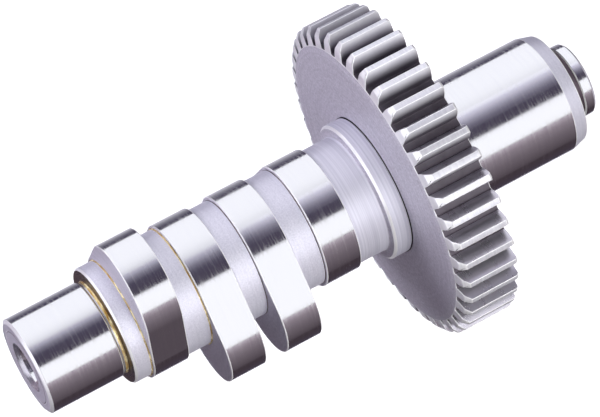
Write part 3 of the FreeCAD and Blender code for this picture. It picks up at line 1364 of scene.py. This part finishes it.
@dataclass(frozen=True)
class Softbox:
    """One flat studio light that faces the middle of the shaft.

    Attributes:
        name: The light's name.
        azimuth: Its direction in degrees, from -Y towards -X.
        elevation: Its height above the horizon in degrees.
        width: Its width in metres.
        height: Its height in metres.
        radiance: How bright its face looks at full level.
        colour: Its colour as hex.
        fade: Levels across its width, each a place from 0 to 1 and a share of the radiance.
        distance: How far it stands, in metres.
        rise: How far it is shifted up along its own height, in metres.
        use: What the light reaches.
        aim: The point that it faces, half way up the shaft, in metres.
    """

    name: str
    azimuth: float
    elevation: float
    width: float
    height: float
    radiance: float
    colour: str
    fade: tuple[tuple[float, float], ...] = ()
    distance: float = 1.0
    rise: float = 0.0
    use: LightUse = LightUse.ALL
    aim: tuple[float, float, float] = (0.0, 0.0, 0.064)

    def place(self) -> None:
        """Place the light."""
        lamp = bpy.data.lights.new(self.name, "AREA")
        lamp.shape = "RECTANGLE"
        lamp.size = self.width
        lamp.size_y = self.height
        lamp.color = linear(self.colour)[:3]
        lamp.energy = self.radiance * math.pi * self.width * self.height
        if self.fade:
            self.shade(lamp)
        turn = math.radians(self.azimuth)
        lean = math.radians(self.elevation)
        level = math.cos(lean)
        out = Vector((-math.sin(turn) * level, -math.cos(turn) * level, math.sin(lean)))
        thing = bpy.data.objects.new(self.name, lamp)
        thing.rotation_mode = "QUATERNION"
        thing.rotation_quaternion = out.to_track_quat("Z", "Y")
        up = thing.rotation_quaternion @ Vector((0.0, 1.0, 0.0))
        thing.location = Vector(self.aim) + out * self.distance + up * self.rise
        thing.visible_camera = False
        thing.visible_glossy = self.use is not LightUse.FILL
        thing.visible_diffuse = self.use is not LightUse.MIRROR
        bpy.context.scene.collection.objects.link(thing)

    def shade(self, lamp: bpy.types.Light) -> None:
        """Fade the light across its width, as a diffuser hung at a slant does.

        Args:
            lamp: The light.
        """
        tree = empty_tree(lamp)
        place = add_node(tree, "ShaderNodeNewGeometry").outputs["Parametric"]
        across = add_node(tree, "ShaderNodeSeparateXYZ", links={0: place}).outputs["X"]
        ramp = add_node(tree, "ShaderNodeValToRGB", links={0: across})
        stops = ramp.color_ramp.elements
        while len(stops) < len(self.fade):
            stops.new(0.5)
        for stop, (spot, level) in zip(stops, self.fade):
            stop.position = spot
            stop.color = (level, level, level, 1.0)
        glow = add_node(tree, "ShaderNodeEmission", links={"Color": ramp.outputs[0]})
        add_node(tree, "ShaderNodeOutputLight", links={"Surface": glow.outputs[0]})


@dataclass
class Studio:
    """The pale floor, the soft lights and the camera.

    Attributes:
        lights: The soft lights, each named for its form or its place.
        surroundings: The room's colour on the side of +X.
        far_side: The room's colour on the side of -X.
        side_span: Where along X the first colour ends and the second is reached.
        backdrop: The colour that the camera sees above the floor's edge.
        paper: The floor's colour.
        paper_glow: How bright the floor shines of its own.
        floor_size: The floor's side, in metres.
        focal_length: The camera's focal length, in millimetres.
        sensor_width: The camera's sensor, in millimetres.
        clip: The nearest and the farthest distance that the camera sees, in metres.
        camera_place: Where the camera stands, in metres.
        camera_turn: How it is turned, as a quaternion.
    """

    lights: list[Softbox] = field(default_factory=lambda: [
        Softbox("wide strip", -77.5, 0.0, 1.78, 2.6, 1.12, "#FCFDFF",
                ((0.0, 0.62), (0.1, 0.82), (0.25, 0.96), (0.4, 1.0), (1.0, 1.0)),
                use=LightUse.MIRROR),
        Softbox("soft edge", -24.0, 0.0, 0.425, 2.6, 0.74, "#F2F0FF",
                ((0.0, 0.0), (0.4, 0.22), (0.75, 0.6), (1.0, 0.9)), use=LightUse.MIRROR),
        Softbox("narrow strip", 33.5, 0.0, 0.77, 2.0, 1.2, "#FCFDFF",
                ((0.0, 0.5), (0.08, 1.0), (0.9, 1.0), (1.0, 0.5)), rise=-0.6),
        Softbox("dim strip", 86.0, 0.0, 1.2, 2.6, 0.6, "#E6D6E2",
                ((0.0, 0.06), (0.25, 0.15), (0.5, 0.26), (0.8, 0.5), (1.0, 1.0))),
        Softbox("overhead box", 0.0, 88.0, 0.9, 1.0, 1.3, "#F8F8FF", use=LightUse.MIRROR),
        Softbox("back box", -150.0, 34.0, 1.2, 0.6, 0.28, "#E2C6D2", use=LightUse.MIRROR),
        Softbox("back strip", -165.0, -17.0, 1.3, 0.76, 1.0, "#F4F4FA",
                ((0.0, 0.08), (0.12, 0.13), (0.27, 0.35), (0.42, 0.6), (0.58, 0.75), (1.0, 1.0)),
                use=LightUse.MIRROR),
        Softbox("low soft edge", -24.0, -23.0, 0.62, 0.36, 0.24, "#EDE9FA",
                ((0.0, 0.25), (0.3, 0.6), (0.6, 1.0), (1.0, 1.0)), use=LightUse.MIRROR),
        Softbox("key box", -92.0, 48.0, 0.4, 0.3, 7.6, "#F6F5FF", distance=0.5, use=LightUse.FILL),
        Softbox("front fill", 26.0, -1.0, 1.1, 0.34, 14.6, "#F7FAF3", use=LightUse.FILL),
        Softbox("back fill", 176.0, -2.0, 1.1, 0.34, 7.0, "#F7FAF3", use=LightUse.FILL),
    ])
    surroundings: str = "#514B5E"
    far_side: str = "#453B42"
    side_span: tuple[float, float] = (0.2, -0.8)
    backdrop: str = "#FDFDFE"
    paper: str = "#C4C4C6"
    paper_glow: float = 0.95
    floor_size: float = 9.0
    focal_length: float = 229.6308
    sensor_width: float = 36.0
    clip: tuple[float, float] = (0.01, 20.0)
    camera_place: tuple[float, float, float] = (0.002580996, -0.739175502, 0.250618212)
    camera_turn: tuple[float, float, float, float] = (
        0.407734931, 0.317555133, 0.526037513, -0.675422459,
    )

    def lay_floor(self) -> None:
        """Lay the pale floor, which the steel neither mirrors nor is lit by."""
        bpy.ops.object.select_all(action="DESELECT")
        bpy.ops.mesh.primitive_plane_add(size=self.floor_size, location=ORIGIN)
        floor = bpy.context.active_object
        floor.name = "studio_floor"
        material = bpy.data.materials.new("pale studio paper")
        tree = empty_tree(material)
        shader = add_node(
            tree,
            "ShaderNodeBsdfPrincipled",
            values={
                "Base Color": linear(self.paper),
                "Roughness": 0.9,
                "Specular IOR Level": 0.0,
                "Emission Color": linear("#FFFFFF"),
                "Emission Strength": self.paper_glow,
            },
        )
        add_node(tree, "ShaderNodeOutputMaterial", links={"Surface": shader.outputs[0]})
        material.cycles.emission_sampling = "NONE"
        floor.data.materials.append(material)
        floor.visible_diffuse = False
        floor.visible_glossy = False
        floor.visible_shadow = False

    def set_world(self) -> None:
        """Give the room its dim violet grey, and a pale backdrop above the floor's edge."""
        world = bpy.data.worlds.new("studio room")
        bpy.context.scene.world = world
        tree = empty_tree(world)
        place = add_node(tree, "ShaderNodeTexCoord").outputs["Generated"]
        side = add_node(tree, "ShaderNodeSeparateXYZ", links={0: place}).outputs["X"]
        share = add_node(
            tree,
            "ShaderNodeMapRange",
            values={"From Min": self.side_span[0], "From Max": self.side_span[1]},
            links={"Value": side},
        ).outputs[0]
        tone = add_node(
            tree,
            "ShaderNodeMix",
            {"data_type": "RGBA"},
            {FIRST_COLOUR: linear(self.surroundings), SECOND_COLOUR: linear(self.far_side)},
            {0: share},
        ).outputs[MIXED_COLOUR]
        room = add_node(tree, "ShaderNodeBackground", links={"Color": tone})
        wall = add_node(tree, "ShaderNodeBackground", values={"Color": linear(self.backdrop)})
        seen = add_node(tree, "ShaderNodeLightPath").outputs["Is Camera Ray"]
        mixed = add_node(
            tree, "ShaderNodeMixShader", links={0: seen, 1: room.outputs[0], 2: wall.outputs[0]}
        ).outputs[0]
        add_node(tree, "ShaderNodeOutputWorld", links={"Surface": mixed})

    def set_camera(self) -> None:
        """Set the camera where the photograph's ellipses put it, for an image of 600 by 417."""
        lens = bpy.data.cameras.new("studio camera")
        lens.sensor_fit = "HORIZONTAL"
        lens.sensor_width = self.sensor_width
        lens.lens = self.focal_length
        lens.clip_start, lens.clip_end = self.clip
        camera = bpy.data.objects.new("studio camera", lens)
        camera.location = self.camera_place
        camera.rotation_mode = "QUATERNION"
        camera.rotation_quaternion = Quaternion(self.camera_turn)
        bpy.context.scene.collection.objects.link(camera)
        bpy.context.scene.camera = camera

    def build(self) -> None:
        """Build the whole studio."""
        self.lay_floor()
        self.set_world()
        for light in self.lights:
            light.place()
        self.set_camera()
        settings = bpy.context.scene.view_settings
        settings.view_transform = "Standard"
        settings.look = "None"
        log.info("studio: %d lights", len(self.lights))


def main() -> None:
    """Build the shaft, the gear, the key's finish and the studio, in that order."""
    logging.basicConfig(level=logging.INFO, format="%(name)s: %(message)s")
    CamShaft().build()
    TimingGear().build()
    HalfRoundKey().dress()
    Studio().build()


if __name__ == "__main__":
    main()
